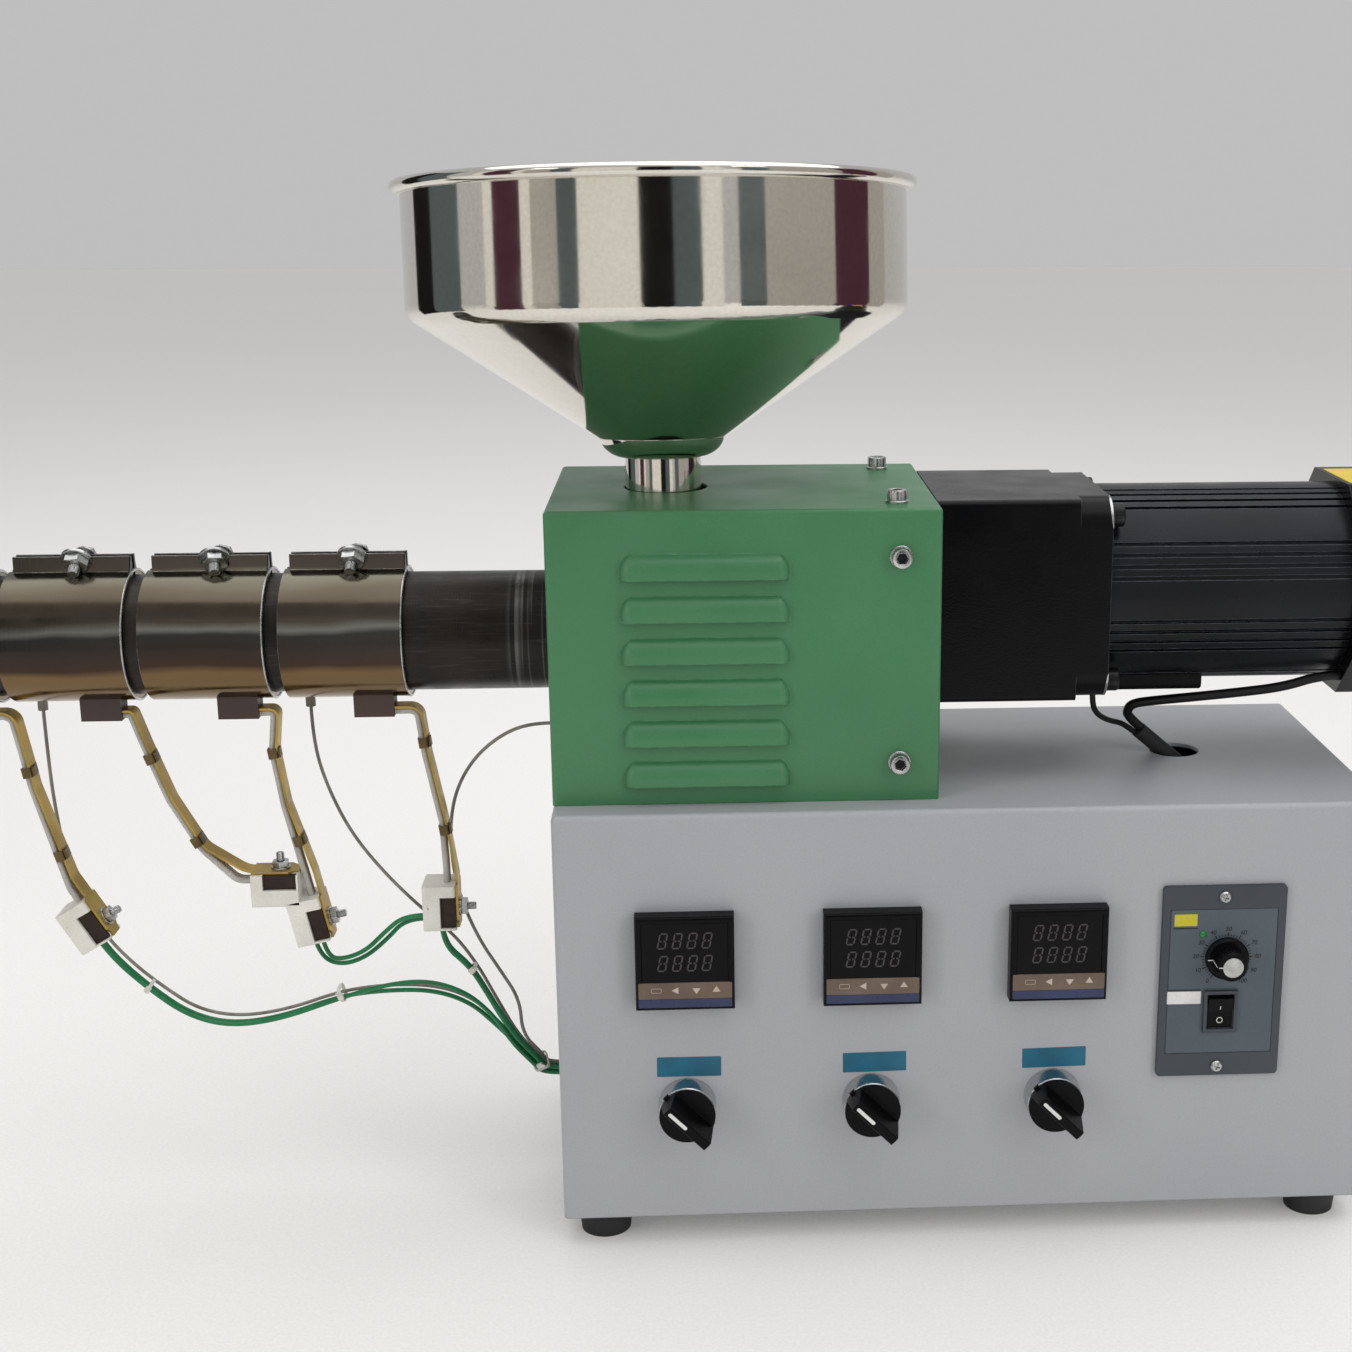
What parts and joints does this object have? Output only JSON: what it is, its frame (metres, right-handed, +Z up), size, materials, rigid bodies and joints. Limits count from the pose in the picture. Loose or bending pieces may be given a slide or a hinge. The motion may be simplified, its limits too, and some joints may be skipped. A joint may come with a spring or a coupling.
{
  "type": "benchtop plastic extruder",
  "caption": "Benchtop single-screw plastic extruder: hopper over a louvred guard, banded heated barrel, gearmotor, and a control cabinet with dials on rubber feet.",
  "frame": {"origin": "centre of the machine's outline on the surface that it stands on, at the bottom of the feet", "axes": "+Z up, the control panel faces -Y, the barrel points along -X and the motor along +X"},
  "size_m": [0.84, 0.2552, 0.5297],
  "materials": {
    "cabinet_powder": "satin white powder coat",
    "black_rubber": "matt moulded rubber",
    "green_powder": "satin green powder coat",
    "polished_stainless": "mirror-polished stainless steel",
    "block_steel": "machined steel, dull grey",
    "screw_steel": "turned steel",
    "black_steel": "black-oxidised turned steel",
    "nozzle_brass": "turned brass",
    "band_stainless": "rolled stainless sheet, slightly heat-stained",
    "brown_moulding": "dark brown heat-proof moulding",
    "white_ceramic": "white glazed ceramic",
    "yellow_zinc": "yellow-passivated steel strip",
    "glass_sleeve": "grey-white braided glass-fibre sleeve",
    "black_casting": "semi-gloss black paint on a casting",
    "black_extrusion": "black anodised extrusion",
    "selector_chrome": "satin chrome",
    "grey_moulding": "dark grey moulding",
    "black_moulding": "fine-textured black moulding",
    "braid": "grey-brown metal braid",
    "green_insulation": "glossy green insulation",
    "black_insulation": "smooth black sheath"
  },
  "bodies": {
    "machine": {"cabinet_body": "cabinet_powder", "cabinet_back_panel": "cabinet_powder", "cabinet_base": "cabinet_powder", "cabinet_feet": "black_rubber", "wiring_grommets": "black_rubber", "cable_sleeve": "black_rubber", "guard_cover": "green_powder", "hopper_bowl": "polished_stainless", "hopper_neck": "polished_stainless", "feed_block": "block_steel", "bearing_housing": "block_steel", "extruder_screw": "screw_steel", "barrel": "black_steel", "die_head": "black_steel", "die_nozzle": "nozzle_brass", "thermocouple_probes": "band_stainless", "lead_caps": "brown_moulding", "terminal_blocks": "white_ceramic", "gearbox": "black_casting", "motor_body": "black_extrusion", "motor_end_cowl": "black_casting", "selector_bezels": "selector_chrome", "speed_controller": "grey_moulding", "heater_band_1": "band_stainless", "lead_strap_1": "yellow_zinc", "sleeved_leads_1": "glass_sleeve", "heater_band_2": "band_stainless", "lead_strap_2": "yellow_zinc", "sleeved_leads_2": "glass_sleeve", "heater_band_3": "band_stainless", "lead_strap_3": "yellow_zinc", "sleeved_leads_3": "glass_sleeve", "heater_band_4": "band_stainless", "lead_strap_4": "yellow_zinc", "sleeved_leads_4": "glass_sleeve", "temperature_controller_1": "black_moulding", "thermocouple_lead_1": "braid", "temperature_controller_2": "black_moulding", "thermocouple_lead_2": "braid", "temperature_controller_3": "black_moulding", "thermocouple_lead_3": "braid", "heater_wire_1a": "green_insulation", "heater_wire_1b": "green_insulation", "heater_wire_3a": "green_insulation", "heater_wire_3b": "green_insulation", "heater_wire_4a": "green_insulation", "heater_wire_4b": "green_insulation", "motor_supply_cable": "black_insulation", "motor_signal_cable": "black_insulation"},
    "selector_knob_1": {"selector_knob_1": "black_moulding"},
    "selector_knob_2": {"selector_knob_2": "black_moulding"},
    "selector_knob_3": {"selector_knob_3": "black_moulding"},
    "speed_knob": {"speed_knob": "black_moulding"},
    "speed_rocker": {"speed_rocker": "black_moulding"}
  },
  "joints": [
    {"name": "selector_1_turn", "type": "hinge", "parent": "machine", "child": "selector_knob_1", "pos_m": [0.0408, -0.10398, 0.076], "axis": [0, 1, 0], "range_deg": [0, 90]},
    {"name": "selector_2_turn", "type": "hinge", "parent": "machine", "child": "selector_knob_2", "pos_m": [0.132, -0.10398, 0.076], "axis": [0, 1, 0], "range_deg": [0, 90]},
    {"name": "selector_3_turn", "type": "hinge", "parent": "machine", "child": "selector_knob_3", "pos_m": [0.2232, -0.10398, 0.076], "axis": [0, 1, 0], "range_deg": [0, 90]},
    {"name": "speed_dial_turn", "type": "hinge", "parent": "machine", "child": "speed_knob", "pos_m": [0.3076, -0.10198, 0.1485], "axis": [0, 1, 0], "range_deg": [0, 280]},
    {"name": "rocker_tilt", "type": "hinge", "parent": "machine", "child": "speed_rocker", "pos_m": [0.3056, -0.09998, 0.1203], "axis": [1, 0, 0], "range_deg": [-20, 0]}
  ]
}
